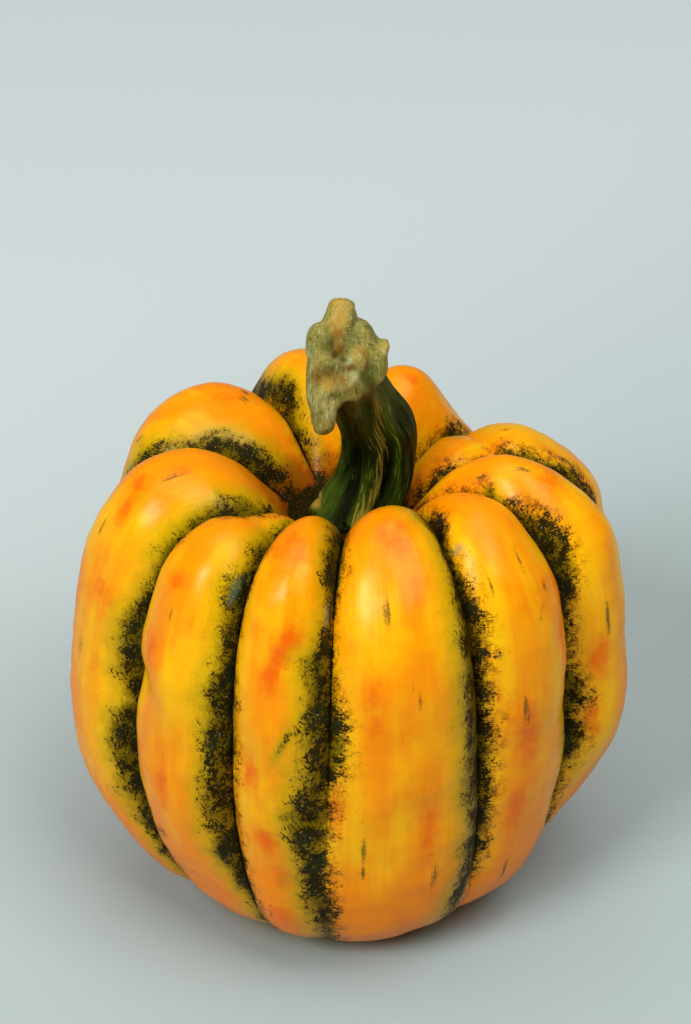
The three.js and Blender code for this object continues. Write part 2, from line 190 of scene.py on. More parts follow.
# The stalk's limbs: a ribbed neck that arches over, and the gnarled bit of vine across its end.
# Each has its path, its radii, how far its ends are rounded off, and its ribs, as number, depth
# and phase.
GAP = 0.3
LIMBS = [
    ([(3, 0, SCAR_HEIGHT + GAP), (4.2, 0.3, 117.5), (6.6, 1, 122.5), (8.9, 1.8, 131),
      (8.6, 1.3, 141), (4.8, -1.8, 150), (2, -6, 158.5), (-1, -10, 166)],
     [11.2, 10.6, 10, 9.8, 9.7, 8.6, 7.6, 7], (0, 5), (5, 0.08, 20)),
    ([(-1.6, -5, 184), (-2.1, -8, 179.6), (-2.7, -11, 175), (-3, -13, 169)],
     [3.2, 4.4, 5.2, 6.4], (1.4, 3), (2, 0, 0)),
    ([(-6.6, -8, 178.2), (-7, -11, 174.2), (-6.9, -15, 168), (-6.7, -17.5, 161), (-6.6, -19.2, 151)],
     [3.1, 4.2, 4.4, 4.2, 2.6], (2, 2.5), (2, 0, 0)),
    ([(-1.6, -8, 174.5), (-1.5, -12, 169), (-3.6, -15, 165.5), (-4, -18, 158)],
     [6, 8, 6.4, 3.3], (3, 3), (2, 0, 0)),
    ([(-1, -10, 171), (2.2, -9, 173.4), (6.6, -10, 171.9), (10.8, -10, 171.4)],
     [7, 5.9, 3.2, 2.5], (2, 0.8), (2, 0, 0)),
    ([(5.6, -10.5, 171.5), (5.6, -12.5, 167.3), (2, -15.5, 165), (-1.6, -17.5, 160)],
     [4.8, 4.5, 3.8, 2.8], (2, 2.5), (2, 0, 0)),
]

# The neck's feet, which run down and out over the scar: azimuth and reach from the axis.
FEET = [(272, 13.2), (304, 13), (335, 13.2), (35, 14), (105, 14.6), (190, 13.2)]
FOOT_TOP = (4, 0.5, 119.2)
FOOT_RADII = [5.5, 3.6, 2]
NECK_GIRTH = 9.5
TOE, TOE_RADIUS = (-8.5, -0.5, 119), 3.2

# The folds that run up the neck: azimuth around it, half width in degrees, and rise in mm.
FOLDS = [
    (-100, 16, 0.7), (-66, 14, 0.6), (-34, 12, -1.5), (-4, 12, 0.9), (24, 9, -0.9), (46, 12, 0.7),
    (78, 12, -0.8), (108, 14, 0.8), (138, 11, -0.9), (168, 14, 0.7), (-160, 12, -0.9),
    (-130, 12, 0.5),
]

# Lumps and dimples of the gnarled end: place, radius and rise, in mm.
WARTS = [
    ((2.4, -16.8, 172.4), 2.6, 1.6), ((-0.6, -17.6, 174.6), 1.7, -1.6),
    ((-5.4, -16.4, 175.4), 1.7, -1.5), ((-2.9, -15.6, 178.6), 1.9, 1.0), ((-3, -17, 175.2), 1.6, 0.9),
    ((-3.6, -19.6, 169.2), 3, -2.4), ((-7.4, -18.8, 168.4), 2, -1.3), ((0.4, -19, 170.3), 1.6, -1),
    ((0.6, -19.4, 166.8), 2, 0.9), ((-6.4, -20, 164.5), 2.4, 1), ((-3.2, -20.8, 162.6), 1.8, -0.9),
    ((-6.8, -20.8, 158.6), 2, 0.6), ((5.6, -16.8, 167.6), 2.2, -0.9), ((6.6, -15, 171.4), 1.6, -0.9),
    ((-7.4, -12, 176), 2.2, 0.6), ((-9.5, -14, 171), 2.2, -0.6), ((8, -11, 174.6), 1.4, -0.8),
    ((6, -2, 172), 3, 0.8), ((-3, 0, 168), 3, 0.9), ((1, -2, 176), 2.5, -0.8),
]

# Where the gnarled end is tan, frosted pale or brown, and where shade is painted in its folds and under its
# lip: place and radius.
END_TINTS = {
    "tan": [
        ((-2.4, -8, 184), 4), ((-2.4, -12.3, 182), 3.6), ((-2.9, -14.8, 179.9), 2.6),
        ((3, -16, 173.3), 2.6), ((-5.5, -19.5, 166), 2.4), ((10, -11.5, 172.5), 2),
        ((-2, -2, 178), 3.4), ((-5, -20.5, 161), 1.8), ((2, -3, 172), 3),
    ],
    "frost": [
        ((-6.8, -19.1, 162.3), 3.4), ((-8.5, -17.5, 164.5), 2.6), ((-4.5, -20.3, 158.5), 3),
        ((0.1, -18.6, 172.4), 1.6), ((-9.6, -13, 172), 3), ((1.2, -19, 168.5), 2.4),
        ((10, -10, 171), 2.4),
    ],
    "brown": [
        ((-4.2, -20.3, 169), 3.2), ((-7.6, -18.8, 168.4), 2.8), ((-1.2, -20.6, 168.6), 2.4),
        ((-2.7, -15.2, 178.8), 2.4), ((-2.9, -17, 175.6), 2.6), ((3.6, -16.4, 173), 2),
        ((0.2, -19.4, 171), 1.8),
    ],
    "shade": [
        ((8, -8.5, 158.6), 4.4), ((-3.6, -17.6, 174.2), 1.2), ((-1.2, -18.6, 173.4), 1.2),
        ((4, -10, 157), 5), ((-1, -12, 156), 5), ((1.5, -9, 152), 4), ((5.3, -16.4, 165.4), 2.4),
        ((0.2, -17.8, 160), 2.2), ((7.6, -14, 167), 1.8), ((-1, 1, 170), 2.6),
    ],
}

# How much the dabs add to the dark and the thin places take from it, in mm of the stripe.
DAB_DARK, DAB_EDGE = 16, 14
THIN_CUT = 4

# Fineness of the surfaces, and the skin's relief in mm.
COLUMNS_PER_LOBE = 48
FRUIT_ROWS = 190
SPAN_LENGTH = 22
LUMP_RISE, LUMP_SIZE = 0.9, 17
DENT_RISE, DENT_SIZE = 0.22, 5

# How far apart the grooves lie in their noise, so that no two of them are alike.
GROOVE_STRIDE = 37

# The way the limbs' rings face, and the voxel in mm and the rounds of smoothing that join them.
LIMB_SIDE = (0.85, -0.5, 0)
GROWN_VOXEL, GROWN_EASE = 0.4, 14


def spline(values, along, carry_on=False):
    """Uniform Catmull-Rom through the values, read at 0 to 1. carry_on lets the ends run straight."""
    points = np.asarray(values, float)
    if points.ndim == 1:
        points = points[:, None]
    last = len(points) - 1
    place = np.clip(along, 0, 1) * last
    index = np.minimum(place.astype(int), last - 1)
    step = (place - index)[:, None]
    before = points[np.maximum(index - 1, 0)]
    start, end = points[index], points[index + 1]
    after = points[np.minimum(index + 2, last)]
    if carry_on:
        before = np.where(index[:, None] == 0, 2 * start - end, before)
        after = np.where(index[:, None] == last - 1, 2 * end - start, after)
    slope_start, slope_end = (end - before) / 2, (after - start) / 2
    return ((2 * start - 2 * end + slope_start + slope_end) * step ** 3
            + (3 * end - 3 * start - 2 * slope_start - slope_end) * step ** 2 + slope_start * step + start)


def even_places(values, count, samples=4000):
    """Places from 0 to 1 that are evenly spaced by length along a spline."""
    along = np.linspace(0, 1, samples)
    steps = np.linalg.norm(np.diff(spline(values, along), axis=0), axis=1)
    length = np.concatenate([[0], np.cumsum(steps)])
    return np.interp(np.linspace(0, length[-1], count), length, along)


def fruit_grid():
    """The fruit's skin as rows by columns by xyz, in mm, with what the markings need to know."""
    along = even_places(CREST_OUTLINE, FRUIT_ROWS + 1)
    level = along * SPANS
    crest = spline(CREST_OUTLINE, along)
    nudge = 1e-4
    tangent = spline(CREST_OUTLINE, along + nudge) - spline(CREST_OUTLINE, along - nudge)
    tangent /= np.linalg.norm(tangent, axis=1, keepdims=True)
    outward = np.stack([tangent[:, 1], -tangent[:, 0]], axis=1)
    depth = spline(GROOVE_DEPTH, along)[:, 0]
    fade = np.clip(np.minimum(level, SPANS - level), 0, 1)
    top = 1 / (1 + np.exp((TURN_TOP_LEVEL - level) / TURN_SOFTNESS))
    base = 1 / (1 + np.exp((level - TURN_BASE_LEVEL) / TURN_SOFTNESS))
    across = np.sin(np.linspace(-math.pi / 2, math.pi / 2, COLUMNS_PER_LOBE + 1))
    fullness = (1 - np.abs(across) ** LOBE_SQUARENESS) ** LOBE_STEEPNESS
    low = 1 / (1 + np.exp((level - LOW_CUT_LEVEL) / LOW_CUT_SOFTNESS))
    grooves = [azimuth + turn_top * top + turn_base * base
               for azimuth, _, _, turn_top, turn_base, _ in LOBES]
    grooves.append(grooves[0] + 360)
    cuts = [cut + (low_cut - cut) * low for _, cut, low_cut, _, _, _ in LOBES]
    cuts.append(cuts[0])
    lobes, seams = [], []
    for start, end, cut_start, cut_end, (*_, swells) in zip(grooves, grooves[1:], cuts, cuts[1:], LOBES):
        cut = cut_start[:, None] + (cut_end - cut_start)[:, None] * (across + 1) / 2
        swell = fade * sum(size * np.exp(-((level - at) / SWELL_REACH) ** 2)
                           for size, at in zip(swells, SWELL_LEVELS))
        azimuth = ((start + end) / 2)[:, None] + across * ((end - start) / 2)[:, None]
        rise = np.zeros_like(azimuth)
        for knob_azimuth, knob_level, wide, tall, height in KNOBS:
            turn = (azimuth - knob_azimuth + 180) % 360 - 180
            rise += height * np.exp(-(turn / wide) ** 2 - ((level[:, None] - knob_level) / tall) ** 2)
        proud = swell[:, None] * fullness - depth[:, None] * cut * (1 - fullness) + fade[:, None] * rise
        radius = crest[:, :1] + outward[:, :1] * proud
        height = crest[:, 1:] + outward[:, 1:] * proud
        angle = np.radians(azimuth)
        lobes.append(np.stack([radius * np.sin(angle), -radius * np.cos(angle), height], axis=-1))
        seams.append(cut)
    return level, across, np.array(lobes), np.array(seams)


def stripe_fields(level, grid):
    """Millimetres inside the dark of the nearest stripe, and the side of it, for a grid of lobes."""
    from_start = np.zeros(grid.shape[:3])
    from_start[..., 1:] = np.cumsum(np.linalg.norm(np.diff(grid, axis=2), axis=-1), axis=2)
    to_end = from_start[..., -1:] - from_start
    inside = np.full(grid.shape[:3], -99.0)
    side = np.zeros(grid.shape[:3])
    for lobe in range(len(LOBES)):
        for stripe, place in ((lobe, from_start[lobe]), ((lobe + 1) % len(LOBES), -to_end[lobe])):
            at, low, high = np.array(STRIPES[stripe], float).T
            low, high = (np.interp(level, at, edge)[:, None] for edge in (low, high))
            depth = np.minimum(place - low, high - place)
            nearer = depth > inside[lobe]
            inside[lobe] = np.where(nearer, depth, inside[lobe])
            side[lobe] = np.where(nearer, np.clip(2 * (place - low) / (high - low) - 1, -1, 1), side[lobe])
    return from_start, to_end, inside, side


def spots(level, grid, marks):
    """How near each point of the grid is to the middle of a spot: 1 in it, and 0 away from it.

    A mark may end with how strong it is, and with how far it leans over as it rises."""
    azimuth = np.degrees(np.arctan2(grid[..., 0], -grid[..., 1]))
    radius = np.hypot(grid[..., 0], grid[..., 1])
    height = level[None, :, None] * SPAN_LENGTH
    near = np.zeros(grid.shape[:3])
    for at, at_level, wide, tall, *more in marks:
        strength, lean = more + [1, 0][len(more):]
        up = height - at_level * SPAN_LENGTH
        off = np.radians((azimuth - at + 180) % 360 - 180) * radius - up * lean
        near = np.maximum(near, strength * np.exp(-(off / wide) ** 2 - (up / tall) ** 2))
    return near


def relief(grid, fade):
    """Moves the skin in and out by its low lumps, which die out at the flat spot and the scar."""
    flat = grid.reshape(-1, 3)
    rise = np.array([LUMP_RISE * noise.noise(Vector(point / LUMP_SIZE))
                     + DENT_RISE * noise.noise(Vector(point / DENT_SIZE)) for point in flat])
    outward = flat - (0, 0, SCAR_HEIGHT / 2)
    outward /= np.linalg.norm(outward, axis=1, keepdims=True)
    lift = rise.reshape(grid.shape[:3]) * fade[None, :, None]
    return grid + outward.reshape(grid.shape) * lift[..., None]


def fit_inside(points, box):
    """Squeezes points into a box by the hair that a smooth surface stands proud of its facets."""
    low, high = (np.array(corner) for corner in box)
    points_low, points_high = points.min(axis=0), points.max(axis=0)
    new_low, new_high = np.maximum(points_low, low), np.minimum(points_high, high)
    return new_low + (points - points_low) * (new_high - new_low) / (points_high - points_low)


def mesh_object(name, points, faces, material):
    mesh = bpy.data.meshes.new(name)
    mesh.from_pydata(points.tolist(), [], faces)
    mesh.materials.append(material)
    mesh.shade_smooth()
    made = bpy.data.objects.new(name, mesh)
    bpy.context.scene.collection.objects.link(made)
    return made


def add_field(mesh, name, values):
    """A number at each point of a mesh, for its material."""
    attribute = mesh.attributes.new(name, "FLOAT", "POINT")
    attribute.data.foreach_set("value", np.ravel(values).astype(np.float32))


def add_vectors(mesh, name, domain, values):
    """A vector at each point or corner of a mesh, for its material."""
    attribute = mesh.attributes.new(name, "FLOAT_VECTOR", domain)
    attribute.data.foreach_set("vector", values.astype(np.float32).ravel())


def around(grid):
    """Joins a grid's lobes into whole rings: rows by columns."""
    return np.concatenate([lobe[:, :-1] for lobe in grid], axis=1)


def ring_faces(rows, columns):
    """Quads between neighbouring rings."""
    row, column = np.meshgrid(np.arange(rows - 1), np.arange(columns), indexing="ij")
    right = (column + 1) % columns
    low, high = row * columns, (row + 1) * columns
    return np.stack([low + column, low + right, high + right, high + column], axis=-1).reshape(-1, 4)


def make_fruit():
    level, across, grid, seam = fruit_grid()
    fade = np.clip(np.minimum(level, SPANS - level), 0, 1)
    from_start, to_end, inside, side = stripe_fields(level, grid)
    inside = np.maximum(inside, DAB_DARK * spots(level, grid, DABS) - DAB_EDGE)
    inside = inside - THIN_CUT * spots(level, grid, THINS)
    flecks, blotches, sheen_patches = (spots(level, grid, marks) for marks in (FLECKS, BLOTCHES, SHEEN_PATCHES))
    blotches = blotches - spots(level, grid, YELLOWS)
    crest = np.broadcast_to((1 - np.abs(across) ** 2) ** 0.5, inside.shape)
    grid = relief(grid, fade)

    rings = around(grid)
    rows, columns = rings.shape[:2]
    points = np.vstack([rings.reshape(-1, 3), [0, 0, SPOT_DIMPLE], [0, 0, SCAR_HEIGHT]])
    under, crown = len(points) - 2, len(points) - 1
    first = np.arange(columns)
    after = (first + 1) % columns
    last = (rows - 1) * columns
    faces = ring_faces(rows, columns).tolist()
    faces += [(under, right, left) for left, right in zip(first.tolist(), after.tolist())]
    faces += [(crown, last + left, last + right) for left, right in zip(first.tolist(), after.tolist())]
    fruit = mesh_object("fruit_skin", fit_inside(points * MM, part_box("fruit")), faces, rind_material())

    # Each field of the skin, and its values in the middle of the flat spot and of the scar.
    levels = np.broadcast_to(level[None, :, None], inside.shape)
    fields = {
        "stripe": (np.clip(inside, -14, 8), (-9, -9)), "side": (side, (0, 0)), "fleck": (flecks, (0, 0)),
        "blotch": (blotches, (0, 0)), "painted_sheen": (sheen_patches, (0, 0)), "crest": (crest, (1, 1)),
        "level": (levels, (0, SPANS)), "seam": (seam, (1, 1)),
    }
    for name, (field, ends) in fields.items():
        add_field(fruit.data, name, np.append(around(field), ends))

    # Where each corner lies: mm from the nearest groove, mm up the lobe, and the groove's own place.
    half = COLUMNS_PER_LOBE // 2
    row, column = np.meshgrid(np.arange(rows - 1), np.arange(columns), indexing="ij")
    lobe, step = column // COLUMNS_PER_LOBE, column % COLUMNS_PER_LOBE
    lie = np.zeros((rows - 1, columns, 4, 3))
    for corner, (up, on) in enumerate(((0, 0), (0, 1), (1, 1), (1, 0))):
        start, end = from_start[lobe, row + up, step + on], to_end[lobe, row + up, step + on]
        lie[:, :, corner, 0] = np.where(step < half, start, -end)
        lie[:, :, corner, 1] = level[row + up] * SPAN_LENGTH
        lie[:, :, corner, 2] = (lobe + (step >= half)) % len(LOBES) * GROOVE_STRIDE
    caps = np.zeros((6 * columns, 3))
    add_vectors(fruit.data, "lie", "CORNER", np.concatenate([lie.reshape(-1, 3), caps]))
    return fruit


class Graph:
    """Short ways to add nodes to a material. A value is a number, a colour or a node's output."""

    def __init__(self, name):
        self.material = bpy.data.materials.new(name)
        self.material.use_nodes = True
        self.tree = self.material.node_tree
        self.shader = self.tree.nodes["Principled BSDF"]

    def put(self, socket, value):
        if isinstance(value, bpy.types.NodeSocket):
            self.tree.links.new(value, socket)
        else:
            socket.default_value = (*value, 1) if socket.type == "RGBA" else value

    def node(self, kind, inputs, output=0, **settings):
        made = self.tree.nodes.new(kind)
        for name, value in settings.items():
            setattr(made, name, value)
        for name, value in inputs.items():
            self.put(made.inputs[name], value)
        return made.outputs[output]

    def field(self, name, output="Fac"):
        return self.node("ShaderNodeAttribute", {}, output, attribute_name=name)

    def math(self, operation, a, b=0.0, c=0.0):
        return self.node("ShaderNodeMath", {0: a, 1: b, 2: c}, operation=operation)

    def times(self, a, b):
        return self.math("MULTIPLY", a, b)

    def add(self, *values):
        """The sum of values, each of them plain or paired with its weight."""
        terms = [self.times(*value) if isinstance(value, tuple) else value for value in values]
        total = terms[0]
        for term in terms[1:]:
            total = self.math("ADD", total, term)
        return total

    def between(self, value, low, high):
        """0 at low and 1 at high, with a smooth step between them."""
        return self.node("ShaderNodeMapRange", {"Value": value, "From Min": low, "From Max": high},
                         interpolation_type="SMOOTHSTEP")

    def mix(self, amount, a, b):
        return self.node("ShaderNodeMix", {0: amount, 6: a, 7: b}, 2, data_type="RGBA")

    def tint(self, colour, amount, strength, other):
        """A colour turned towards another one, by an amount from 0 to 1 times a strength."""
        return self.mix(self.times(amount, strength), colour, other)

    def stretch(self, vector, size, turn=0.0):
        """A vector in units of size, turned about its own z by degrees."""
        turned = self.node("ShaderNodeVectorRotate", {"Vector": vector, "Angle": math.radians(turn)},
                           rotation_type="Z_AXIS") if turn else vector
        return self.node("ShaderNodeVectorMath", {0: turned, 1: size}, operation="DIVIDE")

    def noise(self, vector, size, detail=2.0, roughness=0.5, turn=0.0, sway=0.0):
        """Noise from -1 to 1, mostly within a half of 0."""
        fac = self.node("ShaderNodeTexNoise", {
            "Vector": self.stretch(vector, size, turn), "Scale": 1.0, "Detail": detail,
            "Roughness": roughness, "Distortion": sway})
        return self.math("MULTIPLY_ADD", fac, 2.0, -1.0)

    def finish(self, **sockets):
        for name, value in sockets.items():
            self.put(self.shader.inputs[name.replace("_", " ")], value)
        return self.material


# The skin's colours.
YELLOW, ORANGE, SHADE_ORANGE = (0.98, 0.53, 0.003), (0.95, 0.28, 0.0004), (0.80, 0.17, 0.0004)
RED, DEEP_RED, CROWN_RED = (0.84, 0.115, 0.0008), (0.60, 0.08, 0.001), (0.30, 0.06, 0.001)
GREENISH_YELLOW, OLIVE, RUST = (0.50, 0.345, 0.001), (0.23, 0.15, 0.001), (0.26, 0.06, 0.001)
DARK_OLIVE, DARK_RUST = (0.078, 0.056, 0.0012), (0.15, 0.046, 0.001)
BLACK_GREEN, BLUE_GREEN = (0.0048, 0.0062, 0.0012), (0.0085, 0.0165, 0.0075)
PALE_PITCH, FLECK_GREEN = (0.044, 0.038, 0.002), (0.045, 0.048, 0.009)
# The green of the painted sheen, and the pale colour of the painted glints.
SHEEN_GREEN, PAINTED_GLINT = (0.15, 0.22, 0.13), (0.5, 0.5, 0.42)
SCAR_DARK, SCAR_BROWN = (0.012, 0.010, 0.002), (0.09, 0.05, 0.003)
CORK_DARK, CORK_PALE = (0.13, 0.075, 0.025), (0.42, 0.27, 0.11)


def rind_material():
    """Yellow and orange skin with dark green, bristly stripes along the grooves."""
    graph = Graph("rind")
    lie = graph.field("lie", "Vector")
    place = graph.node("ShaderNodeTexCoord", {}, "Object")
    place = graph.node("ShaderNodeVectorMath", {0: place, "Scale": 1 / MM}, operation="SCALE")
    stripe, side = graph.field("stripe"), graph.field("side")
    level, crest = graph.field("level"), graph.field("crest")

    tilted = graph.node("ShaderNodeVectorRotate", {"Vector": place, "Rotation": (0.7, 0.5, 0.4)},
                        rotation_type="EULER_XYZ")
    round_axis = graph.node("ShaderNodeVectorMath", {0: place, 1: (1, 1, 0)}, operation="MULTIPLY")
    sweep = graph.node("ShaderNodeVectorMath", {0: round_axis}, operation="NORMALIZE")
    sweep = graph.node("ShaderNodeVectorMath", {0: sweep, "Scale": 70.0}, operation="SCALE")
    sweep = graph.node("ShaderNodeVectorMath", {0: sweep, 1: graph.node("ShaderNodeCombineXYZ", {
        "Z": graph.times(level, float(SPAN_LENGTH))})}, operation="ADD")
    blotch = graph.noise(tilted, (7, 7, 7), 2, sway=0.3)
    patch = graph.noise(sweep, (11, 11, 30), 2, sway=0.4)
    clump = graph.noise(place, (2.4, 2.4, 2.4), 2, 0.6)
    stipple = graph.noise(place, (0.6, 0.6, 0.6), 2, 0.65)
    across = graph.noise(lie, (1.7, 0.42, 1), 2, 0.55, sway=0.7)
    slant = graph.noise(lie, (0.42, 1.6, 1), 2, 0.55, 35, 0.7)
    other = graph.noise(lie, (0.42, 1.6, 1), 2, 0.55, -40, 0.7)
    leaning = graph.between(graph.noise(place, (5, 5, 5), 0), -0.15, 0.15)
    tufts = graph.node("ShaderNodeMix", {0: leaning, 2: slant, 3: other}, 0)
    tufts = graph.node("ShaderNodeMix", {0: graph.between(side, -0.3, 0.8), 2: tufts, 3: across}, 0)

    # The dark: bristles and stipple that thin out at the stripe's edges, with brown gaps inside it, and a
    # line of painted shade along the bottoms of the deeply cut grooves.
    drift = graph.noise(tilted, (4.5, 4.5, 4.5), 2, 0.6, sway=0.4)
    from_groove = graph.math("ABSOLUTE", graph.node("ShaderNodeSeparateXYZ", {"Vector": lie}, "X"))
    deep = graph.between(graph.field("seam"), 0.4, 0.75)
    # Painted shade: a dark line along the groove bottom, as strong as the groove is deep.
    groove_shade = graph.times(graph.between(from_groove, 1.6, 0.3), deep)
    core = graph.math("MULTIPLY_ADD", graph.math("MINIMUM", stripe, 3.0), 0.5, -0.8)
    ragged = graph.add(core, (tufts, 3.2), (stipple, 3.0), (drift, 3.6), (blotch, 2.2), (clump, 1.8),
                       (groove_shade, 1.2))
    dark = graph.times(graph.between(ragged, -0.5, 0.9), 0.95)
    soft = graph.add(stripe, (blotch, 3.2), (clump, 1.8), (stipple, 0.9), (tufts, 2.4))
    green_side = graph.between(graph.add(side, (patch, 1.2)), 1.0, -0.4)
    brown_side = graph.math("MULTIPLY_ADD", green_side, -1.0, 1.0)
    halo = graph.times(graph.between(soft, -8.0, -0.5), green_side)
    olive = graph.times(graph.between(soft, -2.4, 1.5), graph.math("MULTIPLY_ADD", green_side, 0.75, 0.25))
    scorch = graph.times(graph.between(soft, -4.0, 0.5), brown_side)
    scorch = graph.times(scorch, graph.between(graph.add(clump, (stipple, 0.6)), -0.35, 0.3))
    within = graph.between(soft, -0.5, 3.5)

    # The ground: yellow to orange, with streaks up the lobes and red blotches, and painted shade low down
    # as a deeper, darker orange.
    streak = graph.noise(sweep, (1.1, 1.1, 16), 2, 0.6)
    ripe = graph.field("blotch")
    shoulder, belly = graph.between(level, 6.0, 8.5), graph.between(level, 3.4, 1.6)
    warmth = graph.add((ripe, 0.4), (crest, 0.6), (patch, 0.8), (blotch, 0.25), (streak, 0.2),
                       (shoulder, 0.4), (belly, 1.1))
    colour = graph.mix(graph.between(warmth, 0.05, 1.0), YELLOW, ORANGE)
    # Painted shade: the lower lobes turn a deeper, darker orange towards the flat spot.
    low_shade = graph.between(graph.add(level, (blotch, 1.2)), 2.6, 1.2)
    colour = graph.tint(colour, low_shade, 0.7, SHADE_ORANGE)
    mottle = graph.noise(place, (3.2, 3.2, 3.2), 3, 0.65)
    ruddy = graph.add((ripe, 0.8), (mottle, 0.7), (blotch, 0.35), (streak, 0.25), (stipple, 0.45),
                      (graph.between(level, 8.2, 9.6), 0.3))
    colour = graph.tint(colour, graph.between(ruddy, 0.15, 1.15), 0.85, RED)
    freckle = graph.between(graph.noise(place, (0.75, 0.75, 0.75), 1), 0.36, 0.56)
    freckle = graph.times(freckle, graph.between(blotch, -0.1, 0.35))
    colour = graph.tint(colour, freckle, 0.7, DEEP_RED)
    colour = graph.tint(colour, halo, 0.8, GREENISH_YELLOW)
    colour = graph.tint(colour, olive, 0.85, OLIVE)
    colour = graph.tint(colour, scorch, 0.65, RUST)
    smudge = graph.mix(graph.between(graph.add(drift, (clump, 0.7)), -0.1, 0.4), DARK_OLIVE, DARK_RUST)
    colour = graph.tint(colour, within, 0.75, smudge)
    crown = graph.add(level, (blotch, 0.6), (clump, 0.3))
    colour = graph.tint(colour, graph.between(crown, 9.4, 10.4), 0.8, CROWN_RED)

    # Flecks, which are brushed in thinly, and the dark over all.
    brushed = graph.add(graph.field("fleck"), (streak, 0.7), (stipple, 0.6))
    colour = graph.tint(colour, graph.between(brushed, 0.35, 1.0), 0.82, FLECK_GREEN)
    pitch = graph.mix(graph.between(blotch, -0.05, 0.4), BLACK_GREEN, BLUE_GREEN)
    pitch = graph.tint(pitch, graph.between(graph.add(stipple, (clump, 0.5)), 0.0, 0.6), 0.6, PALE_PITCH)
    colour = graph.mix(dark, colour, pitch)
    scar = graph.between(graph.add(level, (clump, 0.3)), 10.55, 10.9)
    colour = graph.mix(scar, colour, graph.mix(graph.between(stipple, -0.1, 0.5), SCAR_DARK, SCAR_BROWN))
    # Painted sheen: pale grey-green reflection patches over the skin.
    painted_sheen_mask = graph.between(graph.add(graph.field("painted_sheen"), (stipple, 0.4), (streak, 0.3)), 0.3, 1.0)
    colour = graph.tint(colour, painted_sheen_mask, 0.4, SHEEN_GREEN)
    # Painted glints: tiny pale highlight specks scattered over the dark.
    painted_glint = graph.between(graph.noise(place, (0.5, 0.5, 0.5), 0), 0.60, 0.68)
    colour = graph.mix(graph.times(painted_glint, graph.times(dark, 0.7)), colour, PAINTED_GLINT)

    # The blossom scar under the fruit is corky.
    radius = graph.node("ShaderNodeVectorMath", {0: round_axis}, "Value", operation="LENGTH")
    cork = graph.between(graph.add(radius, (blotch, 2.0)), 11.0, 8.0)
    cork = graph.times(cork, graph.between(level, 0.5, 0.2))
    grain = graph.noise(place, (1.4, 1.4, 1.4), 3, 0.7)
    colour = graph.mix(cork, colour, graph.mix(graph.between(grain, -0.3, 0.4), CORK_DARK, CORK_PALE))

    shine = graph.add(0.29, (blotch, 0.08), (stipple, 0.05), (dark, 0.08), (cork, 0.35), (scar, 0.4))
    height = graph.add((stipple, 0.25), (streak, 0.3), (blotch, 0.5), (dark, 0.3),
                       (graph.times(grain, cork), 2.0))
    bump = graph.node("ShaderNodeBump", {"Height": height, "Distance": 0.06 * MM, "Strength": 1.0})
    dull = graph.math("MAXIMUM", graph.times(within, 0.9), graph.math("MAXIMUM", dark, scar))
    gloss = graph.math("MULTIPLY_ADD", dull, -0.24, 0.28)
    return graph.finish(Base_Color=colour, Roughness=shine, Normal=bump, Specular_IOR_Level=gloss,
                        Specular_Tint=(1, 0.89, 0.56))


def limb_rings(path, radii, rounding, ribs, around=96, rows=90):
    """One limb's rings of points from its start to its end."""
    round_start, round_end = rounding
    rib_count, rib_depth, rib_phase = ribs
    along = (1 - np.cos(np.linspace(0, math.pi, rows))) / 2
    centre = spline(path, along, carry_on=True)
    radius = spline(radii, along)[:, 0]
    steps = np.linalg.norm(np.diff(centre, axis=0), axis=1)
    length = np.concatenate([[0], np.cumsum(steps)])
    tangent = np.gradient(centre, axis=0)
    tangent /= np.linalg.norm(tangent, axis=1, keepdims=True)
    sideways = np.array(LIMB_SIDE) / np.linalg.norm(LIMB_SIDE)
    right = sideways - tangent * (tangent @ sideways)[:, None]
    right /= np.linalg.norm(right, axis=1, keepdims=True)
    up = np.cross(tangent, right)
    inward = np.ones(rows)
    if round_start:
        inward = np.minimum(inward, length / round_start)
    if round_end:
        inward = np.minimum(inward, (length[-1] - length) / round_end)
    girth = radius * np.sqrt(np.maximum(0.02, 1 - (1 - inward) ** 2))
    angle = np.linspace(0, 2 * math.pi, around, endpoint=False)
    spread = girth[:, None] * (1 + rib_depth * np.cos(rib_count * angle + math.radians(rib_phase)))
    return centre[:, None] + right[:, None] * (spread * np.cos(angle))[..., None] \
        + up[:, None] * (spread * np.sin(angle))[..., None]


def closed_limb(rings, points, faces):
    """Adds one closed limb's points and faces to the lists."""
    rows, around = rings.shape[:2]
    base = len(points)
    points.extend(rings.reshape(-1, 3))
    points.append(rings[0].mean(axis=0))
    points.append(rings[-1].mean(axis=0))
    first, last = base + rows * around, base + rows * around + 1
    for side in range(around):
        next_side = (side + 1) % around
        for row in range(rows - 1):
            low, high = base + row * around, base + (row + 1) * around
            faces.append((low + side, low + next_side, high + next_side, high + side))
        faces.append((first, base + next_side, base + side))
        faces.append((last, base + (rows - 1) * around + side, base + (rows - 1) * around + next_side))


def foot_limb(azimuth, reach):
    """One foot of the neck, from inside the neck down to the edge of the scar."""
    outward = np.array((math.sin(math.radians(azimuth)), -math.cos(math.radians(azimuth)), 0))
    start = FOOT_TOP + outward * 2.5
    end = outward * (reach - FOOT_RADII[-1]) + (0, 0, SCAR_HEIGHT + 0.8)
    middle = start * 0.4 + end * 0.6 + (0, 0, -1)
    return [start, middle, end], FOOT_RADII, (2, 3), (2, 0, 0)


def grow_together(thing, voxel, rounds):
    """Joins overlapping closed limbs into one skin, with the creases between them eased."""
    remesh = thing.modifiers.new("grow", "REMESH")
    remesh.mode = "VOXEL"
    remesh.voxel_size = voxel
    smooth = thing.modifiers.new("ease", "SMOOTH")
    smooth.factor = 0.5
    smooth.iterations = rounds
    whole = bpy.data.meshes.new_from_object(thing.evaluated_get(bpy.context.evaluated_depsgraph_get()))
    thing.modifiers.clear()
    whole.shade_smooth()
    thing.data = whole


